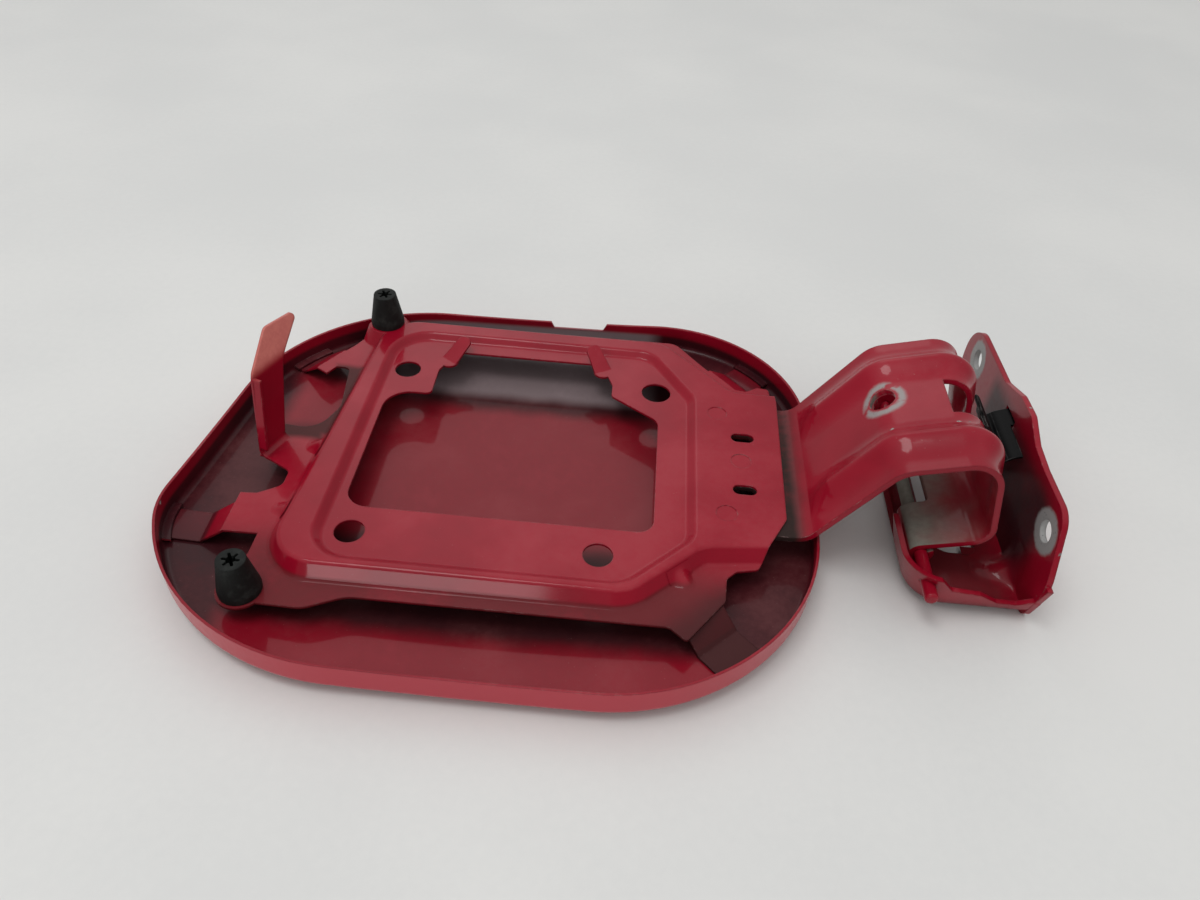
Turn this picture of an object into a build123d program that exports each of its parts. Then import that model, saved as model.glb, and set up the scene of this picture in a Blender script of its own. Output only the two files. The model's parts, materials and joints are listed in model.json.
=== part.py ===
from build123d import *
import math
import os

# Car fuel door, lying outer skin down: X from latch to hinge, Y across, Z up from the table.
# Sizes are in millimetres. The lid is drawn about its own middle, and at the end everything is
# moved so that the origin is halfway between the two bolt holes on the bracket's mounting face.

# Outer panel
rim_corners = [(-99.3, -31.8), (-78.3, -81.7), (99.7, -82.8), (102.9, 86.2), (-86.1, 79.4)]
rim_corner_radii = [30.0, 68.0, 64.6, 52.8, 64.5]
skin_sheet = 0.8
crown_radius = 1300.0
rim_height = 9.6
skin_edge_radius = 2.4
notch_middle = 18.0
notch_length = 19.0
notch_depth = 2.4
lip_length = 15.0
lip_reach = 3.4
lip_gap = 0.1

# Inner panel: levels are heights of the sheet's upper face
inner_sheet = 0.8
flange_level = 11.0
land_level = 13.6
rib_level = 15.9
rib_corners = [
    (-59.5, -50.5), (44.0, -50.5), (65.0, -31.0), (98.0, -27.0),
    (98.0, 43.5), (76.0, 43.5), (51.0, 69.4), (-52.0, 69.4),
]
rib_radii = [13.0, 12.0, 8.0, 4.0, 4.0, 8.0, 10.0, 13.0]
rib_wall_run = 3.2
land_corners = [
    (-47.0, -45.8), (42.0, -45.8), (60.5, -27.5), (60.5, 38.0), (46.0, 61.0), (-46.0, 61.0),
]
land_radii = [10.0, 10.0, 6.0, 6.0, 8.0, 12.0]
land_wall_run = 2.4
bend_radius = 1.5
flange_corners = [
    (-70.0, -51.0), (-67.0, -62.5), (-45.0, -63.0), (-34.0, -57.7), (56.0, -57.7),
    (61.0, -62.0), (72.0, -47.0), (72.6, -38.5), (75.5, -35.5), (82.0, -34.0),
    (90.8, -17.0), (91.5, 40.0), (90.4, 53.0), (86.4, 53.5), (82.0, 50.5),
    (76.5, 51.5), (64.7, 65.5), (56.0, 76.5), (-44.0, 75.5), (-57.0, 70.5),
    (-63.2, 57.6), (-69.0, 48.8), (-69.0, 20.0), (-77.0, 20.0), (-77.0, -45.0),
]
flange_radii = [
    2.0, 4.0, 8.0, 12.0, 3.0,
    1.0, 2.0, 2.0, 2.0, 2.0,
    2.0, 4.0, 1.5, 1.5, 2.0,
    4.0, 4.0, 6.0, 8.0, 5.0,
    2.0, 2.0, 1.0, 1.0, 1.0,
]
window_corners = [
    (-43.9, -25.7), (50.4, -25.7), (50.4, 26.5), (33.6, 38.0), (33.6, 44.0),
    (29.1, 55.5), (-24.5, 55.5), (-29.0, 44.0), (-29.0, 30.5), (-43.9, 30.5),
]
window_radii = [7.0, 5.0, 5.0, 2.0, 1.0, 1.0, 1.0, 1.0, 2.0, 9.0]
land_holes = [(-39.9, 42.8, 9.0), (49.3, 41.9, 10.2), (-38.9, -36.0, 9.0), (34.5, -36.3, 9.0)]
pad_slots = [(78.7, 19.0), (78.5, -5.8)]
pad_slot_length = 7.6
pad_slot_width = 4.2
weld_spots = [(70.5, 31.0), (77.8, 7.6), (72.5, -16.6)]
weld_diameter = 6.6
weld_depth = 0.2
striker_notch = [
    (-95.0, 10.7), (-74.0, 10.7), (-63.5, 9.5), (-58.6, 22.0), (-61.6, 44.0), (-70.0, 44.0), (-95.0, 57.0),
]
striker_notch_radii = [1.0, 1.0, 8.0, 8.0, 2.6, 1.5, 1.0]
latch_notch = [(-95.0, -5.0), (-76.0, -5.0), (-65.5, -11.0), (-65.5, -17.5), (-72.0, -21.8), (-95.0, -23.0)]
latch_notch_radii = [1.0, 1.0, 3.0, 3.0, 2.0, 1.0]
near_slit = [
    (-95.0, -41.5), (-78.0, -39.5), (-73.0, -34.5), (-66.0, -34.5),
    (-66.0, -47.0), (-74.0, -51.5), (-95.0, -51.5),
]
near_slit_radii = [1.0, 3.0, 2.0, 2.5, 3.0, 3.0, 1.0]

# Corner tabs of the inner panel: X and Y of the root, heading in degrees, width, length of the flat
corner_tabs = [
    (-62.0, -31.7, 181.0, 12.0, 14.5),
    (60.0, -46.0, 313.0, 15.0, 7.0),
    (-65.4, 45.6, 149.0, 13.5, 5.0),
    (70.0, 53.0, 41.0, 14.0, 5.0),
]
tab_ramp = 8.5
tab_seat_gap = 0.1
tab_end_gap = 1.6

# Cap hooks at the two slanted sides of the window
cap_hooks = [(-26.4, 50.0, 55.0), (29.7, 51.7, 122.0)]
hook_rise = 30.0
hook_root_radius = 3.4
hook_corners = [(-3.3, -0.8), (3.3, -0.8), (2.7, 11.0), (-2.7, 11.0)]
hook_radii = [0.4, 0.4, 2.4, 2.4]

# Striker: outline drawn along its own width and up, then bent on two lines
striker_root = (-73.8, 0.5)
striker_turn = 69.0
striker_crease = 37.0
striker_top = 47.0
striker_lower_lean = 6.0
striker_upper_lean = 22.0
striker_bend = 2.5
striker_tail = 9.0
striker_edge_depth = 3.0
striker_edge = [(-6.4, 14.0), (-0.4, 37.0), (0.5, 37.0), (-5.5, 14.0)]
striker_corners = [
    (-6.4, 5.0), (5.0, 5.0), (5.0, 13.0), (13.5, 37.0),
    (27.2, 45.8), (12.5, striker_top), (-0.5, 37.5), (-6.4, 13.0),
]
striker_radii = [0.5, 0.5, 4.0, 8.0, 1.2, 3.5, 6.0, 4.0]

# Rubber bumpers and their seats
near_seat = (-63.4, -58.6)
far_seat = (-52.9, 67.0)
seat_radius = 6.8
bumper_base_diameter = 12.0
bumper_top_diameter = 8.0
bumper_height = 12.5
bumper_foot = 1.8
bumper_bore = 2.6
bumper_bore_depth = 8.0
stem_diameter = 4.8
stem_head_diameter = 6.6
stem_head_length = 3.0

# Hinge pin and its fits
pin_diameter = 4.0
pin_x = 131.0
pin_z = 13.2
pin_running_gap = 0.05
pin_nub = 4.4
pin_end_round = 0.8
pin_far_end = 1.2

# Hinge arm: its outer face runs from under the pad, round the gooseneck, to the knuckles
arm_sheet = 1.8
arm_width = 60.0
arm_middle = 6.4
arm_start = 65.0
arm_foot_bend = 96.0
arm_foot_radius = 6.0
arm_corners = [(116.5, 45.3), (143.5, 52.6), (150.7, 20.6)]
arm_corner_radii = [11.0, 9.5, 6.5]
arm_rib_height = 3.0
arm_rib_margin = 3.0
arm_rib_half = 9.5
arm_rib_fade = 10.0
arm_hole_diameter = 8.0
arm_hole_place = (116.4, 10.0, 44.4)
arm_hole_tilt = 28.0
arm_slot_width = 15.4
arm_slot_middle = 7.3
arm_slot_left = 134.2
arm_slot_low = 36.5
knuckle_length = 18.0
knuckle_curl = 285.0
knuckle_notch = 4.4
knuckle_notch_radius = 2.0

# Hinge bracket
bracket_sheet = 1.8
plate_face = 165.0
box_left = 123.6
box_near = -38.0
box_far = 50.8
box_height = 17.5
box_draft = 5.0
box_corner = 12.0
box_bend = 8.5
box_rim = [(133.8, box_height), (138.0, 12.4), (147.0, 11.2), (153.0, 7.4), (159.0, 7.2), (163.2, 10.0)]
box_gap = (-11.5, 24.3)
box_gap_level = 4.0
box_gap_right = 135.0
floor_hole = [(139.5, -11.2), (154.5, -11.2), (154.5, 33.0), (139.5, 33.0)]
floor_hole_radii = [7.0, 3.5, 4.0, 4.0]
plate_corners = [
    (-33.0, 0.0), (-35.7, 9.0), (-36.8, 16.5), (-27.4, 38.0), (-8.0, 37.4), (2.0, 38.2), (11.5, 42.0),
    (22.0, 41.4), (35.0, 36.8), (73.5, 35.4), (73.5, 12.0), (58.0, 9.5), (50.0, 0.0),
]
plate_radii = [4.0, 5.0, 16.0, 7.0, 6.0, 4.0, 4.0, 4.0, 6.0, 12.0, 12.0, 8.0, 3.0]
bolt_spacing = 83.6
bolt_middle = 18.7
bolt_level = 27.2
bolt_hole_diameter = 7.0

# Leaf spring between the arm and the plate
spring_sheet = 0.7
spring_near = 4.0
spring_far = 27.0
spring_corners = [(159.0, 30.2), (155.0, 24.5), (153.2, 35.6), (143.6, 40.4)]
spring_hook_level = 32.6
spring_radii = [0.9, 6.0, 2.5, 3.0]
spring_hook_drop = 3.0
spring_hook_width = 8.0
spring_tongue_width = 7.0
spring_slot_gap = 0.4
spring_slot_height = 2.6
spring_tongue_start = 151.5

level_tolerance = 0.01
cut_margin = 1.0
tall = 1.5 * arm_corners[1][1]
ground_reach = 1.2 * max(abs(v) for corner in rim_corners for v in corner)
pad_underside = rib_level - inner_sheet
arm_near = arm_middle - arm_width / 2
arm_far = arm_middle + arm_width / 2


def rounded(points, radii):
    return make_face(FilletPolyline(*points, radius=radii, close=True))


def block(x_min, x_max, y_min, y_max, z_min, z_max):
    middle = ((x_min + x_max) / 2, (y_min + y_max) / 2, (z_min + z_max) / 2)
    return Pos(*middle) * Box(x_max - x_min, y_max - y_min, z_max - z_min)


def crown_ball(lift):
    return Pos(0, 0, crown_radius + lift) * Sphere(crown_radius)


def crown_height(x, y):
    return crown_radius - math.sqrt(crown_radius**2 - x**2 - y**2)


def edges_at(shape, level):
    boxes = [(edge, edge.bounding_box()) for edge in shape.edges()]
    level_edges = [(edge, box) for edge, box in boxes if box.size.Z < level_tolerance]
    return [edge for edge, box in level_edges if abs(box.min.Z - level) < level_tolerance]


def rim_outline():
    return rounded(rim_corners, rim_corner_radii)


def strip_along(x, y, heading, width, start, end):
    strip = Pos((start + end) / 2, 0, 0) * Box(end - start, width, 2 * tall)
    return Pos(x, y, 0) * Rot(0, 0, heading) * strip


def hem_lip(x, y, heading):
    outline = rim_outline()
    ring = extrude(offset(outline, -skin_sheet / 2), tall) - extrude(offset(outline, -lip_reach), tall)
    low = skin_sheet + tab_seat_gap + inner_sheet + lip_gap
    layer = crown_ball(low) - crown_ball(low + skin_sheet)
    return ring & strip_along(x, y, heading, lip_length, 0, 2 * tall) & layer


def outer_panel():
    outline = rim_outline()
    blank = extrude(outline, tall) & crown_ball(0)
    skin_edges = blank.faces().sort_by(Axis.Z)[0].edges()
    blank = fillet(skin_edges, skin_edge_radius)
    hollow = extrude(offset(outline, -skin_sheet), tall) & crown_ball(skin_sheet)
    hollow_edges = hollow.faces().sort_by(Axis.Z)[0].edges()
    hollow = fillet(hollow_edges, skin_edge_radius - skin_sheet)
    pan = blank - crown_ball(rim_height) - hollow
    notch_floor = crown_height(notch_middle, rim_corners[-1][1]) + rim_height - notch_depth
    half = notch_length / 2
    notch = Polyline(
        (notch_middle - half, notch_floor), (notch_middle + half, notch_floor),
        (notch_middle + half + notch_depth, notch_floor + 2 * notch_depth),
        (notch_middle - half - notch_depth, notch_floor + 2 * notch_depth), close=True,
    )
    pan -= extrude(Plane.XZ * make_face(notch), -2 * tall)
    for x, y, heading, width, flat in corner_tabs:
        pan += hem_lip(x, y, heading)
    return pan


def pressed_die():
    ground = block(-ground_reach, ground_reach, -ground_reach, ground_reach, -flange_level, flange_level)
    rib = rounded(rib_corners, rib_radii)
    rib_foot = Pos(0, 0, flange_level) * offset(rib, rib_wall_run)
    plateau = loft([rib_foot, Pos(0, 0, rib_level) * rib], ruled=True)
    land = rounded(land_corners, land_radii)
    land_brow = Pos(0, 0, rib_level) * offset(land, land_wall_run)
    recess = loft([Pos(0, 0, land_level) * land, land_brow], ruled=True)
    die = ground + (plateau - recess)
    for level in (rib_level, land_level, flange_level):
        inside = ground_reach - cut_margin
        folds = [e for e in edges_at(die, level) if e.bounding_box().max.X < inside]
        folds = [e for e in folds if e.bounding_box().min.X > -inside]
        die = fillet([e for e in folds if abs(e.center().Y) < inside], bend_radius)
    seat_foot = Pos(*far_seat, flange_level) * Circle(seat_radius + rib_wall_run)
    return die + loft([seat_foot, Pos(*far_seat, rib_level) * Circle(seat_radius)])


def corner_tab(x, y, heading, width, flat):
    lip_end = flat + tab_ramp
    along = math.radians(heading)
    seat_lift = skin_sheet + tab_seat_gap
    foot = (x + lip_end * math.cos(along), y + lip_end * math.sin(along))
    foot_level = crown_height(*foot) + seat_lift + inner_sheet
    upper = [(0, flange_level), (flat, flange_level), (lip_end, foot_level)]
    lower = [(along_tab, level - inner_sheet) for along_tab, level in reversed(upper)]
    profile = Polyline(*upper, *lower, close=True)
    ramp = extrude(Plane.XZ * make_face(profile), width / 2, both=True)
    ramp = Pos(x, y, 0) * Rot(0, 0, heading) * ramp
    shelf = extrude(offset(rim_outline(), -skin_sheet - tab_end_gap), tall)
    layer = crown_ball(seat_lift) - crown_ball(seat_lift + inner_sheet)
    seat = strip_along(x, y, heading, width, lip_end - inner_sheet, 2 * tall) & shelf & layer
    return (ramp & crown_ball(seat_lift)) + seat


def cap_hook(x, y, heading):
    level = land_level - inner_sheet / 2
    tongue = extrude(rounded(hook_corners, hook_radii), inner_sheet / 2, both=True)
    root = Cylinder(hook_root_radius, inner_sheet)
    return Pos(x, y, level) * Rot(0, 0, heading - 90) * (Rot(hook_rise, 0, 0) * tongue + root)


def striker():
    lower = math.tan(math.radians(striker_lower_lean))
    upper = math.tan(math.radians(striker_upper_lean))
    middle = flange_level - inner_sheet / 2
    crease = (striker_crease - middle) * lower
    top = striker_top + inner_sheet
    tip = crease + (top - striker_crease) * upper
    spine = FilletPolyline(
        (-striker_tail, middle), (0, middle), (crease, striker_crease), (tip, top),
        radius=[striker_bend, 4 * striker_bend],
    )
    side = make_face(offset(spine, inner_sheet / 2, side=Side.BOTH))
    sheet = extrude(Plane.XZ * side, tall / 2, both=True)
    front = extrude(Plane.YZ * rounded(striker_corners, striker_radii), tall / 2, both=True)
    slope = Line((0, middle), (crease, striker_crease))
    turned_side = make_face(offset(slope, striker_edge_depth / 2, side=Side.BOTH))
    turned_sheet = Pos(-striker_edge_depth / 2, 0, 0) * extrude(Plane.XZ * turned_side, tall / 2, both=True)
    turned_front = extrude(Plane.YZ * make_face(Polyline(*striker_edge, close=True)), tall / 2, both=True)
    form = (sheet & mirror(front, Plane.XZ)) + (turned_sheet & mirror(turned_front, Plane.XZ))
    blade = Rot(0, 0, 180) * form
    return Pos(*striker_root, 0) * Rot(0, 0, striker_turn - 90) * blade


def pad_slot(depth):
    return extrude(SlotOverall(pad_slot_length, pad_slot_width), depth, both=True)


def inner_panel():
    die = pressed_die()
    sheet = die - Pos(0, 0, -inner_sheet) * die
    sheet &= extrude(rounded(flange_corners, flange_radii), tall)
    for corners, radii in (
        (window_corners, window_radii),
        (striker_notch, striker_notch_radii),
        (latch_notch, latch_notch_radii),
        (near_slit, near_slit_radii),
    ):
        sheet -= extrude(rounded(corners, radii), tall)
    for tab in corner_tabs:
        sheet += corner_tab(*tab)
    sheet += Pos(*near_seat, flange_level - inner_sheet / 2) * Cylinder(seat_radius, inner_sheet)
    for hook in cap_hooks:
        sheet += cap_hook(*hook)
    sheet += striker()
    for x, y, diameter in land_holes:
        sheet -= Pos(x, y, 0) * Cylinder(diameter / 2, tall)
    for x, y in pad_slots:
        sheet -= Pos(x, y, rib_level) * pad_slot(2 * inner_sheet)
    for x, y in weld_spots:
        sheet -= Pos(x, y, rib_level) * Cylinder(weld_diameter / 2, 2 * weld_depth)
    for x, y in (near_seat, far_seat):
        sheet -= Pos(x, y, 0) * Cylinder(stem_diameter / 2, tall)
    return sheet


def bumper(x, y, level):
    foot = bumper_base_diameter / 2
    stem = stem_diameter / 2
    head = stem_head_diameter / 2
    head_top = -inner_sheet
    head_low = head_top - stem_head_length
    profile = Polyline(
        (0, head_low), (stem, head_low), (head, head_top), (stem, head_top), (stem, 0),
        (foot, 0), (foot, bumper_foot), (bumper_top_diameter / 2, bumper_height), (0, bumper_height),
        close=True,
    )
    body = revolve(Plane.XZ * make_face(profile), Axis.Z)
    bore = Circle(bumper_bore / 2)
    for turn in range(0, 180, 60):
        bore += Rot(0, 0, turn) * SlotOverall(2 * bumper_bore, bumper_bore / 3)
    body -= Pos(0, 0, bumper_height - bumper_bore_depth) * extrude(bore, bumper_height)
    return Pos(x, y, level) * body


def arm_section(rib_height):
    top = []
    start = -arm_width / 2
    rib_middle = arm_width / 2 - arm_rib_margin - arm_rib_half
    for middle in (-rib_middle, rib_middle):
        left = (middle - arm_rib_half, 0)
        right = (middle + arm_rib_half, 0)
        top.append(Line((start, 0), left))
        top.append(Spline(left, (middle, rib_height), right, tangents=[(1, 0), (1, 0)]))
        start = right[0]
    top.append(Line((start, 0), (arm_width / 2, 0)))
    bottom = [Pos(0, -arm_sheet) * e for e in top]
    ends = [Line((x, -arm_sheet), (x, 0)) for x in (-arm_width / 2, arm_width / 2)]
    return make_face(top + bottom + ends)


def arm_frame(point, direction):
    origin = (point[0], arm_middle, point[1])
    return Plane(origin=origin, x_dir=(0, 1, 0), z_dir=(direction[0], 0, direction[1]))


def turned(direction, angle):
    return (
        direction[0] * math.cos(angle) - direction[1] * math.sin(angle),
        direction[0] * math.sin(angle) + direction[1] * math.cos(angle),
    )


def stepped(point, direction, length):
    return (point[0] + direction[0] * length, point[1] + direction[1] * length)


def arm_bend(point, direction, section, radius, angle):
    side = math.copysign(1, angle)
    middle = stepped(point, turned(direction, math.pi / 2), side * radius)
    axis = Axis((middle[0], 0, middle[1]), (0, -side, 0))
    return revolve(arm_frame(point, direction) * section, axis, abs(math.degrees(angle)))


def arm_end():
    corner = arm_corners[-1]
    reach = (pin_x - corner[0], pin_z - corner[1])
    tilt = math.asin((pin_diameter / 2 + pin_running_gap) / math.hypot(*reach))
    length = math.sqrt(math.hypot(*reach) ** 2 - (pin_diameter / 2 + pin_running_gap) ** 2)
    heading = math.atan2(reach[1], reach[0]) - tilt
    return stepped(corner, (math.cos(heading), math.sin(heading)), length)


def hinge_arm():
    flat = arm_section(0)
    ribbed = arm_section(arm_rib_height)
    corners = [(arm_start, pad_underside), (arm_foot_bend, pad_underside), *arm_corners, arm_end()]
    radii = [arm_foot_radius, *arm_corner_radii, 0]
    place = corners[0]
    heading = (1, 0)
    arm = None
    for index, radius in enumerate(radii):
        corner = corners[index + 1]
        run = math.dist(place, corner)
        turn = 0
        if radius:
            after = corners[index + 2]
            turn = math.atan2(after[1] - corner[1], after[0] - corner[0])
            turn -= math.atan2(heading[1], heading[0])
            turn = math.remainder(turn, 2 * math.pi)
            run -= radius * math.tan(abs(turn) / 2)
        section = ribbed if index in (1, 2, 3) else flat
        frame = arm_frame(place, heading)
        far = stepped(place, heading, run)
        if index == 1:
            joint = stepped(place, heading, arm_rib_fade)
            piece = loft([frame * flat, arm_frame(joint, heading) * ribbed], ruled=True)
            piece += extrude(arm_frame(joint, heading) * ribbed, run - arm_rib_fade)
        elif index == 3:
            joint = stepped(far, heading, -arm_rib_fade)
            piece = extrude(frame * ribbed, run - arm_rib_fade)
            piece += loft([arm_frame(joint, heading) * ribbed, arm_frame(far, heading) * flat], ruled=True)
        else:
            piece = extrude(frame * section, run)
        arm = piece if arm is None else arm + piece
        if radius:
            arm += arm_bend(far, heading, flat if index in (0, 3) else ribbed, radius, turn)
            heading = turned(heading, turn)
            place = stepped(corner, heading, radius * math.tan(abs(turn) / 2))
    curl = Pos(0, -arm_sheet / 2) * Rectangle(knuckle_length, arm_sheet)
    for side in (-1, 1):
        offset_y = side * (arm_width - knuckle_length) / 2
        frame = arm_frame(far, heading) * (Pos(offset_y, 0) * curl)
        arm += revolve(frame, Axis((pin_x, 0, pin_z), (0, -1, 0)), knuckle_curl)
    return arm - arm_openings()


def arm_openings():
    hole = Pos(*arm_hole_place) * Rot(0, -arm_hole_tilt, 0)
    cuts = hole * Cylinder(arm_hole_diameter / 2, 8 * arm_sheet)
    near = arm_slot_middle - arm_slot_width / 2
    cuts += block(arm_slot_left, plate_face, near, near + arm_slot_width, arm_slot_low, tall)
    notch = Pos(pin_x, arm_middle) * Rectangle(2 * knuckle_notch, arm_width - 2 * knuckle_length)
    notch = fillet(notch.vertices(), knuckle_notch_radius)
    cuts += extrude(notch, arm_slot_low)
    for x, y in pad_slots:
        cuts += Pos(x, y, pad_underside) * pad_slot(2 * arm_sheet)
    return cuts


def tray_form(inset, floor, right):
    outlines = []
    for level in (floor, box_height):
        shrink = box_draft * (1 - level / box_height) + inset
        low = (box_left + shrink, box_near + shrink)
        high = (right + 2 * box_corner, box_far - shrink)
        points = [low, (high[0], low[1]), high, (low[0], high[1])]
        outlines.append(Pos(0, 0, level) * rounded(points, box_corner - inset))
    form = loft(outlines, ruled=True)
    form = fillet(edges_at(form, floor), box_bend - inset)
    return form & block(0, right, -tall, tall, 0, tall)


def hinge_bracket():
    box = tray_form(0, 0, plate_face) - tray_form(bracket_sheet, bracket_sheet, plate_face - bracket_sheet)
    above = Polyline((0, box_height), *box_rim, (plate_face, tall), (0, tall), close=True)
    box -= extrude(Plane.XZ * make_face(above), tall, both=True)
    box -= block(0, box_gap_right, *box_gap, box_gap_level, tall)
    plate = extrude(Plane.YZ * rounded(plate_corners, plate_radii), bracket_sheet)
    box += Pos(plate_face - bracket_sheet, 0, 0) * plate
    for side in (-1, 1):
        bolt = Pos(plate_face, bolt_middle + side * bolt_spacing / 2, bolt_level)
        box -= bolt * Rot(0, 90, 0) * Cylinder(bolt_hole_diameter / 2, 4 * bracket_sheet)
    box -= extrude(rounded(floor_hole, floor_hole_radii), bracket_sheet)
    box -= Pos(pin_x, 0, pin_z) * Rot(90, 0, 0) * Cylinder(pin_diameter / 2, 4 * tall)
    slot_half = spring_hook_width / 2 + spring_slot_gap
    slot_middle = spring_far - spring_hook_width / 2
    box -= block(
        plate_face - 2 * bracket_sheet, plate_face + cut_margin,
        slot_middle - slot_half, slot_middle + slot_half,
        spring_hook_level - spring_slot_height, spring_hook_level + spring_sheet,
    )
    return box


def hinge_pin():
    lean = box_draft * (1 - pin_z / box_height)
    low = box_near + lean - pin_nub
    high = box_far - lean + pin_far_end
    pin = Pos(pin_x, (low + high) / 2, pin_z) * Rot(90, 0, 0) * Cylinder(pin_diameter / 2, high - low)
    return fillet(pin.edges().filter_by(GeomType.CIRCLE), pin_end_round)


def hinge_spring():
    back = plate_face + spring_slot_gap + spring_sheet / 2
    corners = [(back, spring_hook_level - spring_hook_drop), (back, spring_hook_level), *spring_corners]
    spine = FilletPolyline(*corners, radius=spring_radii)
    side = make_face(offset(spine, spring_sheet / 2, side=Side.BOTH))
    leaf = Pos(0, spring_far, 0) * extrude(Plane.XZ * side, spring_far - spring_near)
    hook_start = plate_face - bracket_sheet - 2 * spring_slot_gap
    before = spring_near - cut_margin
    beyond = spring_far + cut_margin
    leaf -= block(hook_start, plate_face + tall, before, spring_far - spring_hook_width, 0, tall)
    tongue_near = arm_slot_middle - spring_tongue_width / 2
    tongue_far = arm_slot_middle + spring_tongue_width / 2
    for low, high in ((before, tongue_near), (tongue_far, beyond)):
        leaf -= block(0, spring_tongue_start, low, high, arm_slot_low, tall)
    return leaf


os.makedirs("parts", exist_ok=True)
pieces = {
    "outer_panel": outer_panel(),
    "inner_panel": inner_panel(),
    "near_bumper": bumper(*near_seat, flange_level),
    "far_bumper": bumper(*far_seat, rib_level),
    "hinge_arm": hinge_arm(),
    "hinge_bracket": hinge_bracket(),
    "hinge_pin": hinge_pin(),
    "hinge_spring": hinge_spring(),
}
for name, piece in pieces.items():
    export_step(Pos(-plate_face, -bolt_middle, -bolt_level) * piece, f"parts/{name}.step")
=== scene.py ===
import json
import math

import bpy
from mathutils import Matrix, Vector

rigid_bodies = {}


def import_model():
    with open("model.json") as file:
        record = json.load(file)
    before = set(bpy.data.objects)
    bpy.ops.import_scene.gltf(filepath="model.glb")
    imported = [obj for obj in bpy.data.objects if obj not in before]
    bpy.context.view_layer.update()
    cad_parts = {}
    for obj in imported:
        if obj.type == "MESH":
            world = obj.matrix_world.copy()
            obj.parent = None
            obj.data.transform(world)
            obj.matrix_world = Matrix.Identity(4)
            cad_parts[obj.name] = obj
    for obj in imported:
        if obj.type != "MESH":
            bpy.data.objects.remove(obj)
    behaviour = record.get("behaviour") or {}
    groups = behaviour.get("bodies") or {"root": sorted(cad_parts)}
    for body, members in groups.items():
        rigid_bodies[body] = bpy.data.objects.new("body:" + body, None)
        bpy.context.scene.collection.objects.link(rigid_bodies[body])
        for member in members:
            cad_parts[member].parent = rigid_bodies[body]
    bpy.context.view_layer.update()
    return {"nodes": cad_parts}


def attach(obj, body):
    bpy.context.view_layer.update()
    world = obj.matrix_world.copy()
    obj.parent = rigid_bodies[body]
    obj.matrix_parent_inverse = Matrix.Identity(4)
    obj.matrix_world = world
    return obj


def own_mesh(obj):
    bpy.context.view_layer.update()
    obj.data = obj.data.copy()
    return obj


for spare in list(bpy.data.objects):  # nothing from the start-up file stays
    bpy.data.objects.remove(spare)

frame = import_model()
lidMiddle = Vector((-0.165, -0.0187, -0.0272))  # middle of the lid on the table, in the shared frame
print("frame loaded:", len(frame["nodes"]), "nodes")


class Wire:
    # a socket that can stand in a sum; each operator adds one Math node
    def __init__(self, finish, socket):
        self.finish = finish
        self.socket = socket

    def __add__(self, other):
        return self.finish.maths("ADD", self, other)

    __radd__ = __add__

    def __sub__(self, other):
        return self.finish.maths("SUBTRACT", self, other)

    def __rsub__(self, other):
        return self.finish.maths("SUBTRACT", other, self)

    def __mul__(self, other):
        return self.finish.maths("MULTIPLY", self, other)

    __rmul__ = __mul__


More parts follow.
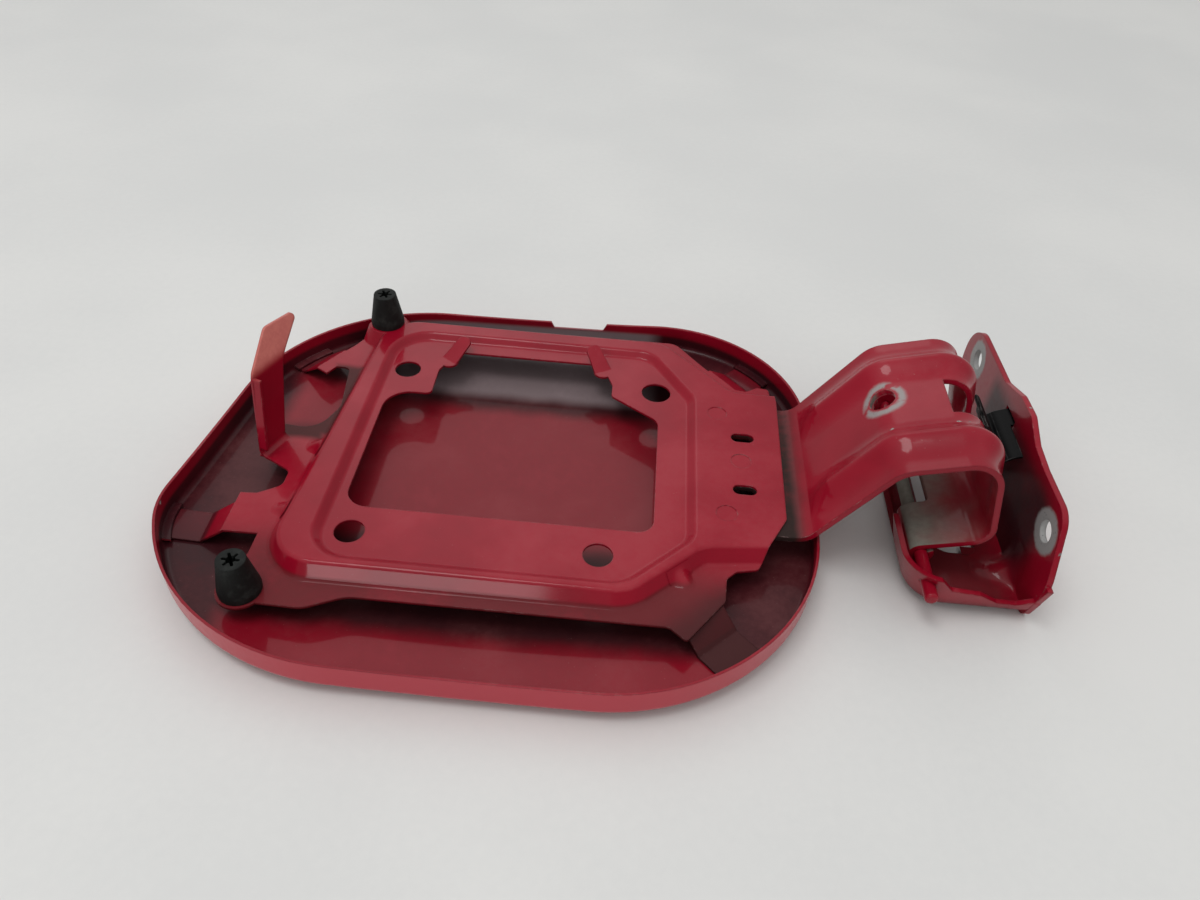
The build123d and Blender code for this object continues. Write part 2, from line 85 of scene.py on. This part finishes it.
class Finish:
    # one material and the few ways to add nodes to it
    def __init__(self, name):
        self.material = bpy.data.materials.new(name)
        self.material.use_nodes = True
        self.tree = self.material.node_tree
        self.tree.nodes.clear()
        self.shader = self.tree.nodes.new("ShaderNodeBsdfPrincipled")
        self.surface = self.tree.nodes.new("ShaderNodeOutputMaterial")
        self.tree.links.new(self.shader.outputs[0], self.surface.inputs[0])
        self.coords = self.tree.nodes.new("ShaderNodeTexCoord")
        local = Wire(self, self.coords.outputs["Object"])
        moved = self.node("ShaderNodeVectorMath", {"operation": "SUBTRACT"}, {0: local, 1: lidMiddle})
        self.place = self.node("ShaderNodeVectorMath", {"operation": "SCALE"}, {0: moved, "Scale": 1000.0})  # mm
        self.x, self.y, self.z = self.parts(self.place)
        self.facing = Wire(self, self.coords.outputs["Normal"])

    def node(self, kind, settings, sockets, out=0):
        made = self.tree.nodes.new(kind)
        for key, value in settings.items():
            setattr(made, key, value)
        for key, value in sockets.items():
            if isinstance(value, Wire):
                self.tree.links.new(value.socket, made.inputs[key])
            else:
                made.inputs[key].default_value = value
        return Wire(self, made.outputs[out])

    def maths(self, operation, a, b=0.0):
        return self.node("ShaderNodeMath", {"operation": operation}, {0: a, 1: b})

    def parts(self, vector):
        split = self.node("ShaderNodeSeparateXYZ", {}, {0: vector}).socket.node
        return [Wire(self, socket) for socket in split.outputs]

    def step(self, value, low, high):
        ends = {"Value": value, "From Min": low, "From Max": high}
        return self.node("ShaderNodeMapRange", {"interpolation_type": "SMOOTHSTEP"}, ends)

    def mix(self, share, first, second):
        first, second = [(*c, 1.0) if isinstance(c, tuple) else c for c in (first, second)]
        return self.node("ShaderNodeMix", {"data_type": "RGBA"}, {0: share, 6: first, 7: second}, out=2)

    def grain(self, size, detail=3.0, rough=0.5, stretch=(1.0, 1.0, 1.0)):
        # noise whose lumps are about size mm across
        at = self.node("ShaderNodeVectorMath", {"operation": "MULTIPLY"}, {0: self.place, 1: stretch})
        return self.node(
            "ShaderNodeTexNoise", {}, {"Vector": at, "Scale": 1.0 / size, "Detail": detail, "Roughness": rough}
        )

    def away(self, point):
        return self.node("ShaderNodeVectorMath", {"operation": "DISTANCE"}, {0: self.place, 1: point}, out=1)

    def most(self, first, second):
        return self.maths("MAXIMUM", first, second)

    def spots(self, places, fray):
        # 1 inside balls of (x, y, z, radius) mm, with edges frayed by noise
        found = None
        for x, y, z, radius in places:
            ball = self.step(self.away((x, y, z)) + fray, radius * 1.12, radius * 0.88)
            found = ball if found is None else self.most(found, ball)
        return found

    def softened(self, width):
        # normals rounded over edges, as paint rounds them
        return self.node("ShaderNodeBevel", {"samples": 4}, {"Radius": width / 1000.0})

    def edges(self, width):
        # 1 along sharp edges, from how far a rounded normal leaves the true one
        true = self.node("ShaderNodeNewGeometry", {}, {}, out="Normal")
        turned = {0: self.softened(width), 1: true}
        agree = self.node("ShaderNodeVectorMath", {"operation": "DOT_PRODUCT"}, turned, out="Value")
        return self.step(agree, 0.995, 0.80)

    def bump(self, height, strength, depth, normal=None):
        sockets = {"Strength": strength, "Distance": depth / 1000.0, "Height": height}
        if normal is not None:
            sockets["Normal"] = normal
        return self.node("ShaderNodeBump", {}, sockets)

    def feed(self, **sockets):
        for key, value in sockets.items():
            socket = self.shader.inputs[key.replace("_", " ")]
            if isinstance(value, Wire):
                self.tree.links.new(value.socket, socket)
            else:
                socket.default_value = value


paint = {
    "red": (0.32, 0.0035, 0.019),
    "deepRed": (0.24, 0.002, 0.013),
    "thinAndShadedRed": (0.085, 0.008, 0.013),
    "thinAndShadedDark": (0.036, 0.006, 0.009),
    "thinGrey": (0.28, 0.215, 0.225),
    "chalkAndSheenRed": (0.66, 0.20, 0.165),
    "flake": (0.36, 0.03, 0.04),
    "outsideRedWithTableReflection": (0.46, 0.040, 0.060),
    "primer": (0.235, 0.228, 0.195),
    "primerShade": (0.175, 0.167, 0.14),
    "primerBlush": (0.16, 0.07, 0.07),
    "dust": (0.44, 0.33, 0.31),
    "grimeAndShade": (0.028, 0.016, 0.014),
    "wornAndLitEdgeTone": (0.46, 0.30, 0.29),
    "bareSteel": (0.34, 0.352, 0.345),
    "steelPit": (0.20, 0.21, 0.205),
    "chipDark": (0.19, 0.18, 0.17),
    "chipPale": (0.50, 0.46, 0.44),
    "gloss": 0.30,
    "coat": 0.38,
    "coatGloss": 0.09,
    "thinAndShadedDullness": 0.5,
    "coatBend": 1.5,
    "baseShine": 0.1,
    # sizes of the paint's marks in mm
    "cloudSize": 34.0,
    "waveSize": 16.0,
    "fineSize": 2.2,
    "peelSize": 1.6,
    "speckSize": 0.55,
    "flakeSize": 0.25,
    "wornAndLitEdge": 0.5,
    "roundedEdge": 0.9,
    "skinDepth": 0.10,
    "skinStrength": 0.32,
}


def paintedSheet(
    name, chips, dustLevel, primerMask=None, steelMask=None, grimeAndShadeMask=None, outside=None, thinPaintAndShadeMask=None,
    chalkAndSheenMask=None, greyMask=None, edgeWearAndHighlight=0.5,
):
    # red lacquer over grey primer on pressed sheet steel
    f = Finish(name)
    cloud = f.grain(paint["cloudSize"], 4.0, 0.55)
    fine = f.grain(paint["fineSize"], 5.0, 0.65)
    speck = f.grain(paint["speckSize"], 2.0, 0.5)
    edge = f.edges(paint["wornAndLitEdge"])
    up = f.parts(f.facing)[2]

    colour = f.mix(f.step(cloud, 0.30, 0.72), paint["deepRed"], paint["red"])
    flake = f.grain(paint["flakeSize"], 1.0, 0.5)
    colour = f.mix(f.step(flake, 0.60, 0.80) * 0.12, colour, paint["flake"])

    # outside faces: full top coat, painted lighter and pinker as a painted reflection of the white table
    if outside is not None:
        colour = f.mix(outside(f), colour, paint["outsideRedWithTableReflection"])
    # dark red for thin paint, and on some pieces painted shade
    if thinPaintAndShadeMask is not None:
        thinAndShadedTone = f.mix(f.step(cloud * 0.8 + fine * 0.2, 0.34, 0.66), paint["thinAndShadedDark"], paint["thinAndShadedRed"])
        if greyMask is not None:
            thinAndShadedTone = f.mix(greyMask(f), thinAndShadedTone, paint["thinGrey"])
        thinAndShaded = thinPaintAndShadeMask(f)
        colour = f.mix(thinAndShaded, colour, thinAndShadedTone)
    # paler paint: chalk, and a painted sheen on the striker's upper part
    if chalkAndSheenMask is not None:
        colour = f.mix(chalkAndSheenMask(f) * (0.84 + 0.16 * f.step(fine, 0.35, 0.65)), colour, paint["chalkAndSheenRed"])

    dust = f.step(up, 0.55, 0.98) * f.step(fine * 0.25 + cloud * 0.75, 0.46, 0.70) * dustLevel * 0.3
    dust = f.most(dust, f.step(speck, 0.72, 0.79) * f.step(up, 0.3, 0.9) * dustLevel * 1.5)
    colour = f.mix(dust, colour, paint["dust"])

    rough = paint["gloss"] + 0.10 * f.step(fine, 0.35, 0.75) + 0.5 * dust
    coat = paint["coat"] * (1 - 0.75 * f.step(dust, 0.0, 0.45))
    if thinPaintAndShadeMask is not None:
        coat = coat * (1 - paint["thinAndShadedDullness"] * thinAndShaded)

    # dirt darkens the paint here, and on some pieces this mask is painted shade
    if grimeAndShadeMask is not None:
        dirtAndShade = grimeAndShadeMask(f) * f.step(fine * 0.2 + cloud * 0.8, 0.20, 0.56)
        colour = f.mix(dirtAndShade, colour, paint["grimeAndShade"])
        rough = rough + 0.35 * dirtAndShade
        coat = coat * (1 - 0.7 * dirtAndShade)
    if primerMask is not None:
        bare = primerMask(f)
        tone = f.mix(f.step(fine, 0.2, 0.8), paint["primerShade"], paint["primer"])
        tone = f.mix(f.step(cloud, 0.40, 0.7) * 0.5, tone, paint["primerBlush"])
        colour = f.mix(bare, colour, tone)
        rough = rough + bare * 0.32
        coat = coat * (1 - bare)

    # pale edges: worn paint, and a painted highlight along the edges
    wornAndLitEdge = edge * f.step(fine * 0.55 + cloud * 0.45, 0.50, 0.64) * edgeWearAndHighlight
    colour = f.mix(wornAndLitEdge, colour, paint["wornAndLitEdgeTone"])
    coat = coat * (1 - wornAndLitEdge)
    metal = None
    fray = (fine - 0.5) * 2.4
    if chips:
        chip = f.spots(chips, fray)
        colour = f.mix(chip, colour, f.mix(f.step(speck, 0.45, 0.6), paint["chipDark"], paint["chipPale"]))
        rough = rough + 0.35 * chip
        coat = coat * (1 - chip)
    if steelMask is not None:
        steel = steelMask(f, fray)
        tone = f.mix(f.step(speck * 0.7 + fine * 0.3, 0.30, 0.42), paint["steelPit"], paint["bareSteel"])
        colour = f.mix(steel, colour, tone)
        rough = rough + 0.28 * steel
        coat = coat * (1 - steel)
        metal = 0.1 * steel

    peel = f.grain(paint["peelSize"], 2.0, 0.5)
    waves = f.grain(paint["waveSize"], 1.0, 0.4)
    skin = peel * 0.35 + waves * 2.2 + speck * dust * 0.6
    f.feed(
        Base_Color=colour, Roughness=rough, Specular_IOR_Level=paint["baseShine"],
        Coat_Weight=coat, Coat_Roughness=paint["coatGloss"], Coat_IOR=paint["coatBend"],
        Normal=f.bump(skin, paint["skinStrength"], paint["skinDepth"], f.softened(paint["roundedEdge"])),
    )
    if metal is not None:
        f.feed(Metallic=metal)
    print("finish made:", name)
    return f.material


def dress(node, material):
    mesh = frame["nodes"][node].data
    mesh.materials.clear()
    mesh.materials.append(material)


outerPanel = {
    "dust": 0.20,
    "edgeWearAndHighlight": 0.35,
    # x, y, z, radius in mm from the lid's middle
    "chips": [(-97.8, -31.0, 12.6, 0.5)],
    "gutterHeight": 6.0,
    # patches of full red on the inside: middle and half size in x and y
    "sprayed": [((3.0, 6.0), (52.0, 33.0)), ((-70.0, 33.0), (9.0, 13.0)), ((4.0, -71.5), (74.0, 9.5))],
    "wallTop": (8.5, 10.5),
    "farGrey": (43.0, 50.0),
}


def lowPanDarkening(f):
    # darker low in the pan, round its wall, on faces that look up
    low = f.step(f.z, outerPanel["gutterHeight"], 1.5)
    up = f.step(f.parts(f.facing)[2], 0.2, 0.8)
    return low * up * 0.35


def thinCoat(f):
    # dark, barely sprayed paint on the skin's inside, away from where the gun could reach
    ragged = 5.0 * (f.grain(13.0, 3.0) - 0.5)
    reached = None
    for middle, half in outerPanel["sprayed"]:
        dx = f.maths("ABSOLUTE", f.x - middle[0]) - half[0]
        dy = f.maths("ABSOLUTE", f.y - middle[1]) - half[1]
        patch = f.step(f.most(dx, dy) + ragged, 4.0, -4.0)
        reached = patch if reached is None else f.most(reached, patch)
    low, high = outerPanel["wallTop"]
    return (1 - reached) * (1 - outsideSkin(f)) * f.step(f.z, high, low)


def farGrey(f):
    # bare grey undercoat under the window's far edge
    start, end = outerPanel["farGrey"]
    return f.step(f.y + 4.0 * (f.grain(17.0, 2.0) - 0.5), start, end) * f.step(f.maths("ABSOLUTE", f.x), 52.0, 44.0)


def outsideSkin(f):
    # full top coat on the face that shows on the car: what looks away from the lid's middle, or down; it is painted
    # lighter and pinker, a painted reflection of the white table
    nx, ny, nz = f.parts(f.facing)
    return f.step(nx * f.x + ny * f.y - nz * 60.0, 8.0, 25.0)


dress("outer_panel", paintedSheet(
    "outer_panel_paint", outerPanel["chips"], outerPanel["dust"], thinPaintAndShadeMask=thinCoat, grimeAndShadeMask=lowPanDarkening,
    outside=outsideSkin, greyMask=farGrey, edgeWearAndHighlight=outerPanel["edgeWearAndHighlight"],
))

innerPanel = {
    "dust": 0.15,
    "edgeWearAndHighlight": 0.45,
    "chips": [(-88.5, 43.0, 46.0, 1.3), (-81.0, 46.5, 40.0, 0.8), (58.0, -1.5, 15.9, 0.7)],
    "flangeLevel": 11.8,
    "strikerCrease": 37.0,
    "tabFoot": 7.0,
    "darkCorner": (75.0, 85.0),  # how far out along the near right diagonal the painted shade starts and is full
    # dirty bands round the striker's notch: x and y of the middle, half size in x and y
    "notchBands": [(-61.0, 26.0, 6.0, 20.0), (-69.0, 9.5, 10.0, 6.0)],
}


def panelUnderside(f):
    return f.step(f.parts(f.facing)[2], -0.1, -0.5) * f.step(f.z, 20.0, 17.0)


def notchGrime(f):
    ragged = 2.0 * (f.grain(9.0, 2.0) - 0.5)
    found = None
    for x, y, halfX, halfY in innerPanel["notchBands"]:
        dx = f.maths("ABSOLUTE", f.x - x) - halfX
        dy = f.maths("ABSOLUTE", f.y - y) - halfY
        band = f.step(f.most(dx, dy) + ragged, 1.0, -3.0)
        found = band if found is None else f.most(found, band)
    return found * f.step(f.z, 14.0, 12.5) * 0.85


def flangeGrime(f):
    # brown dirt along the low flange on the near side
    low = f.step(f.z, innerPanel["flangeLevel"] + 0.8, innerPanel["flangeLevel"] - 0.4)
    near = f.step(f.y, -30.0, -48.0)
    return f.most(low * near * 0.6, notchGrime(f))


def tabFeet(f):
    # darker colour on the corner tabs' ends, down on the skin, and painted shade on the near right ramp, which
    # bends down away from the light
    feet = f.step(f.z, innerPanel["tabFoot"], innerPanel["tabFoot"] - 1.5) * 0.85
    start, full = innerPanel["darkCorner"]
    out = f.step(0.68 * f.x - 0.73 * f.y + 5.0 * (f.grain(12.0, 2.0) - 0.5), start, full)
    ramp = out * f.step(f.y, -35.0, -42.0) * f.step(f.z, 13.0, 11.8)
    return f.most(feet, ramp * 0.72)


def strikerChalkAndSheen(f):
    # chalky paint above the striker's crease, with a painted sheen where the upper part faces up
    crease = innerPanel["strikerCrease"]
    return f.step(f.z, crease - 1.0, crease + 3.0) * 0.9


dress("inner_panel", paintedSheet(
    "inner_panel_paint", innerPanel["chips"], innerPanel["dust"], primerMask=panelUnderside, grimeAndShadeMask=flangeGrime,
    chalkAndSheenMask=strikerChalkAndSheen, thinPaintAndShadeMask=tabFeet, edgeWearAndHighlight=innerPanel["edgeWearAndHighlight"],
))

hingeArm = {
    "dust": 0.16,
    "edgeWearAndHighlight": 0.75,
    "ring": (116.4, 10.0, 44.6, 7.0),
    "ringHole": 4.9,
    "bendMiddle": (131.0, 31.0),  # x and z
    "primerEnd": (126.0, 150.0),
    "foot": (92.5, 98.5),  # painted shade where the arm leaves the panel, beside the pad's edge
    "chips": [
        (122.0, -9.0, 45.0, 0.9), (134.5, -5.5, 50.0, 0.8), (138.0, -5.0, 50.0, 0.7), (152.0, -5.0, 50.5, 0.9),
        (117.0, -5.0, 45.0, 0.6), (153.0, -23.0, 47.0, 1.0), (148.0, -23.4, 50.0, 1.1), (84.0, -23.0, 16.0, 1.3),
        (88.0, -23.4, 20.0, 0.9),
    ],
}


def armPrimer(f):
    # thin paint inside the bent arm: normals that look at the middle of the bend
    middleX, middleZ = hingeArm["bendMiddle"]
    nx, _, nz = f.parts(f.facing)
    inward = nx * (middleX - f.x) + nz * (middleZ - f.z)
    start, end = hingeArm["primerEnd"]
    fade = f.step(f.x + 14.0 * (f.grain(9.0, 3.0) - 0.5), end, start)
    return f.step(inward, 0.5, 5.0) * fade * f.step(f.x, 99.0, 106.0)


def armRing(f, fray):
    x, y, z, radius = hingeArm["ring"]
    worn = f.spots([(x, y, z, radius)], fray * 0.5) * (1 - f.spots([(x, y, z, hingeArm["ringHole"])], fray * 0.5))
    return worn * f.step(f.parts(f.facing)[2], 0.2, 0.6) * f.step(f.grain(6.0, 2.0), 0.34, 0.44) * 0.85


def armFootShade(f):
    # painted shade on the arm's flat foot
    full, clean = hingeArm["foot"]
    return f.step(f.x + 2.0 * (f.grain(7.0, 2.0) - 0.5), clean, full)


dress("hinge_arm", paintedSheet(
    "hinge_arm_paint", hingeArm["chips"], hingeArm["dust"], primerMask=armPrimer, steelMask=armRing,
    grimeAndShadeMask=armFootShade, edgeWearAndHighlight=hingeArm["edgeWearAndHighlight"],
))

hingeBracket = {
    "dust": 0.10,
    "edgeWearAndHighlight": 0.55,
    "pocket": (-20.0, 42.0),
    "plateX": 165.0,
    "boltMiddle": 18.7,
    "boltLevel": 27.2,
    "boltSpacing": 83.6,
    "ringRadius": 7.0,
    "chips": [
        (164.5, -31.0, 27.0, 1.0), (164.5, 16.0, 41.0, 0.8), (164.5, 41.0, 40.0, 0.9), (164.0, -35.0, 12.0, 0.8),
    ],
}


def boltRings(f, fray):
    # grey worn rings where the bolts' washers bore
    half = hingeBracket["boltSpacing"] / 2
    middle, level, face = hingeBracket["boltMiddle"], hingeBracket["boltLevel"], hingeBracket["plateX"] - 2.0
    radius = hingeBracket["ringRadius"]
    rings = [(face, middle - half, level, radius), (face, middle + half, level, radius)]
    return f.spots(rings, fray * 0.7) * 0.95


def armPocketShade(f):
    # painted shade: dark red on the plate behind the arm, where the arm keeps the light out
    near, far = hingeBracket["pocket"]
    along = f.step(f.y, near - 7.0, near + 4.0) * f.step(f.y, far + 4.0, far - 4.0)
    return along * f.step(f.x, 158.0, 163.0) * f.step(f.z, 38.0, 30.0) * f.step(f.parts(f.facing)[0], -0.4, -0.8)


def trayShade(f):
    # painted shade low in the tray, towards the plate
    return f.step(f.z, 9.0, 2.0) * f.step(f.x, 166.0, 156.0) * 0.55


dress("hinge_bracket", paintedSheet(
    "hinge_bracket_paint", hingeBracket["chips"], hingeBracket["dust"], steelMask=boltRings, grimeAndShadeMask=trayShade,
    thinPaintAndShadeMask=armPocketShade, edgeWearAndHighlight=hingeBracket["edgeWearAndHighlight"],
))

hingePin = {"dust": 0.1, "edgeWearAndHighlight": 0.3, "bareStretch": (-6.0, 19.0)}


def pinPrimer(f):
    # bare between the two knuckles
    near, far = hingePin["bareStretch"]
    return f.step(f.y, near - 1.0, near + 1.0) * f.step(f.y, far + 1.0, far - 1.0)


dress("hinge_pin", paintedSheet(
    "hinge_pin_paint", [], hingePin["dust"], primerMask=pinPrimer, edgeWearAndHighlight=hingePin["edgeWearAndHighlight"],
))

rubber = {
    "dark": (0.008, 0.009, 0.0085),
    "worn": (0.034, 0.037, 0.034),
    "pore": (0.16, 0.15, 0.14),
    "roughness": 0.58,
    "shine": 0.18,
    "roundedEdge": 0.6,
}


def mouldedRubber(name):
    f = Finish(name)
    lumps = f.grain(3.0, 4.0, 0.6)
    pores = f.grain(0.45, 3.0, 0.6)
    edge = f.edges(rubber["roundedEdge"])
    bloom = f.most(f.step(lumps, 0.45, 0.75) * 0.55, edge * f.step(lumps, 0.35, 0.6) * 0.8)
    colour = f.mix(bloom, rubber["dark"], rubber["worn"])
    colour = f.mix(f.step(pores, 0.68, 0.76) * 0.35, colour, rubber["pore"])
    f.feed(
        Base_Color=colour, Roughness=rubber["roughness"] + 0.2 * bloom, Specular_IOR_Level=rubber["shine"],
        Normal=f.bump(pores * 0.6 + lumps, 0.45, 0.12, f.softened(rubber["roundedEdge"])),
    )
    print("finish made:", name)
    return f.material


bumperRubber = mouldedRubber("bumper_rubber")
dress("near_bumper", bumperRubber)
dress("far_bumper", bumperRubber)

springSteel = {
    "black": (0.003, 0.003, 0.0035),
    "smear": (0.012, 0.012, 0.012),
    "rubbed": (0.22, 0.215, 0.21),
    "roughness": 0.22,
    "shine": 0.07,
    "roundedEdge": 0.35,
}


def blackedSpring(name):
    f = Finish(name)
    smear = f.grain(4.0, 4.0, 0.6, (0.35, 1.0, 1.0))
    fine = f.grain(0.7, 3.0, 0.6)
    edge = f.edges(springSteel["roundedEdge"])
    rubbed = edge * f.step(smear, 0.40, 0.60) * 0.8
    colour = f.mix(f.step(smear, 0.4, 0.8) * 0.5, springSteel["black"], springSteel["smear"])
    colour = f.mix(rubbed, colour, springSteel["rubbed"])
    f.feed(
        Base_Color=colour, Roughness=springSteel["roughness"] + 0.22 * smear, Metallic=0.6 * rubbed,
        Specular_IOR_Level=springSteel["shine"],
        Normal=f.bump(fine, 0.2, 0.05, f.softened(springSteel["roundedEdge"])),
    )
    print("finish made:", name)
    return f.material


dress("hinge_spring", blackedSpring("spring_steel"))

darts = {
    # small pressed stiffeners that fill a bend: a point at the bend's foot in mm, the heading away from its rise
    # and half its angle in degrees, then half length across the bend, half width along it and depth of fill
    "panel": [
        ((59.6, -40.8, 11.0), -47.0, 28.4, (4.4, 4.4, 3.6)),
        ((-59.7, 1.5, 11.0), 176.2, 28.4, (4.3, 5.0, 3.6)),
        ((-61.6, -27.5, 11.0), 176.2, 28.4, (4.2, 4.0, 3.0)),
    ],
    "tray": [((163.2, -17.0, 1.8), 180.0, 45.0, (9.5, 9.0, 5.0))],
    "steps": 24,
    "sink": 0.06,  # the rim of a dart ends inside the sheet
}


def pressedDarts(name, body, carrier, places):
    steps = darts["steps"]
    verts, faces = [], []
    for foot, heading, lean, (length, width, fill) in places:
        turn = Matrix.Rotation(math.radians(heading), 3, "Z") @ Matrix.Rotation(math.radians(lean), 3, "Y")
        steep = math.tan(math.radians(lean))
        first = len(verts)
        for row in range(steps + 1):
            across = 2.0 * row / steps - 1.0
            for column in range(steps + 1):
                along = 2.0 * column / steps - 1.0
                depth = fill * (1 - across ** 2) * 0.5 * (1 + math.cos(math.pi * along))
                rise = steep * math.hypot(length * across, depth) - darts["sink"]
                local = Vector((length * across, width * along, rise))
                verts.append(lidMiddle + (Vector(foot) + turn @ local) / 1000.0)
        for row in range(steps):
            for column in range(steps):
                corner = first + row * (steps + 1) + column
                faces.append((corner, corner + steps + 1, corner + steps + 2, corner + 1))
    mesh = bpy.data.meshes.new(name)
    mesh.from_pydata(verts, [], faces)
    mesh.shade_smooth()
    mesh.materials.append(frame["nodes"][carrier].data.materials[0])
    piece = bpy.data.objects.new(name, mesh)
    bpy.context.scene.collection.objects.link(piece)
    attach(piece, body)
    print("darts pressed:", name)


pressedDarts("panel_darts", "lid", "inner_panel", darts["panel"])
pressedDarts("tray_dart", "hinge_base", "hinge_bracket", darts["tray"])

table = {
    "size": 6.0,
    "dropped": -0.32,  # a table height below the open lid's reach
    "colour": (0.735, 0.735, 0.722),
    "shade": (0.685, 0.688, 0.68),
    "roughness": 0.55,
    "shine": 0.2,
}


def tableFloor():
    half = table["size"] / 2
    mesh = bpy.data.meshes.new("table_top")
    z = lidMiddle.z
    corners = [(-half, -half, z), (half, -half, z), (half, half, z), (-half, half, z)]
    mesh.from_pydata(corners, [], [(0, 1, 2, 3)])
    floor = bpy.data.objects.new("table_top", mesh)
    bpy.context.scene.collection.objects.link(floor)
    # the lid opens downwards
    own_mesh(floor)
    f = Finish("table_white")
    cloud = f.grain(140.0, 3.0, 0.5)
    fine = f.grain(3.0, 3.0, 0.6)
    colour = f.mix(f.step(cloud * 0.8 + fine * 0.2, 0.35, 0.7), table["shade"], table["colour"])
    f.feed(
        Base_Color=colour, Roughness=table["roughness"], Specular_IOR_Level=table["shine"],
        Normal=f.bump(fine, 0.15, 0.05),
    )
    floor.data.materials.append(f.material)
    print("table laid")


tableFloor()

room = {
    "front": (0.30, 0.30, 0.303),  # the viewer's side of the room
    "back": (0.50, 0.50, 0.496),
    "ceiling": (0.84, 0.84, 0.832),
    "window": (1.55, 1.55, 1.535),
    "towardsWindow": (-0.16, 0.745, 0.648),  # behind the part and up, where its flats mirror it
    "windowEdge": (0.955, 0.995),
}
lamps = {
    # place, target, size in metres, watts
    "front_window": ((-0.50, -1.35, 0.33), (-0.18, 0.0, 0.0), (0.55, 0.22), 2.1),
    "ceiling_lamp": ((-0.45, -0.25, 1.35), (-0.12, 0.0, 0.0), (0.7, 0.4), 5.0),
}


def roomLight():
    world = bpy.data.worlds.new("room")
    bpy.context.scene.world = world
    world.use_nodes = True
    tree = world.node_tree
    tree.nodes.clear()

    def add(kind, settings, sockets):
        made = tree.nodes.new(kind)
        for key, value in settings.items():
            setattr(made, key, value)
        for key, value in sockets.items():
            if isinstance(value, bpy.types.NodeSocket):
                tree.links.new(value, made.inputs[key])
            else:
                made.inputs[key].default_value = value
        return made

    look = add("ShaderNodeTexCoord", {}, {}).outputs["Generated"]
    smooth = {"interpolation_type": "SMOOTHSTEP"}
    facing = add("ShaderNodeVectorMath", {"operation": "DOT_PRODUCT"}, {0: look, 1: room["towardsWindow"]})
    along = facing.outputs["Value"]
    low, full = room["windowEdge"]
    height = add("ShaderNodeSeparateXYZ", {}, {0: look}).outputs["Z"]
    colours = {"data_type": "RGBA"}

    def ease(value, start, end):
        return add("ShaderNodeMapRange", smooth, {"Value": value, "From Min": start, "From Max": end}).outputs[0]

    def blend(share, first, second):
        return add("ShaderNodeMix", colours, {0: share, 6: first, 7: second}).outputs[2]

    wall = blend(ease(along, -0.4, 0.7), (*room["front"], 1.0), (*room["back"], 1.0))
    upper = blend(ease(height, 0.3, 0.92), wall, (*room["ceiling"], 1.0))
    tone = blend(ease(along, low, full), upper, (*room["window"], 1.0))
    glow = add("ShaderNodeBackground", {}, {"Color": tone}).outputs[0]
    add("ShaderNodeOutputWorld", {}, {"Surface": glow})


def softLamp(name, place, target, size, watts):
    data = bpy.data.lights.new(name, "AREA")
    data.shape = "RECTANGLE"
    data.size, data.size_y = size
    data.energy = watts
    lamp = bpy.data.objects.new(name, data)
    bpy.context.scene.collection.objects.link(lamp)
    lamp.location = place
    lamp.rotation_euler = (Vector(target) - Vector(place)).to_track_quat("-Z", "Y").to_euler()


roomLight()
for lampName, settings in lamps.items():
    softLamp(lampName, *settings)
print("lights set")

view = {
    "place": (-0.127934, -0.228776, 0.185945),
    "pitch": 42.3,
    "yaw": 1.4,
    "roll": -4.3,
    "lens": 27.0,
    "sensor": 36.0,
}


def setCamera():
    pitch, yaw, roll = [math.radians(view[k]) for k in ("pitch", "yaw", "roll")]
    ahead = Vector((-math.sin(yaw) * math.cos(pitch), math.cos(yaw) * math.cos(pitch), -math.sin(pitch)))
    level = Vector((math.cos(yaw), math.sin(yaw), 0.0))
    down = ahead.cross(level)
    right = level * math.cos(roll) + down * math.sin(roll)
    under = down * math.cos(roll) - level * math.sin(roll)
    turn = Matrix((right, -under, -ahead)).transposed().to_4x4()
    data = bpy.data.cameras.new("photo_view")
    data.lens = view["lens"]
    data.sensor_width = view["sensor"]
    data.sensor_fit = "HORIZONTAL"
    data.clip_start = 0.01
    camera = bpy.data.objects.new("photo_view", data)
    bpy.context.scene.collection.objects.link(camera)
    camera.matrix_world = Matrix.Translation(view["place"]) @ turn
    bpy.context.scene.camera = camera
    bpy.context.scene.view_settings.view_transform = "Standard"


setCamera()
print("camera set")
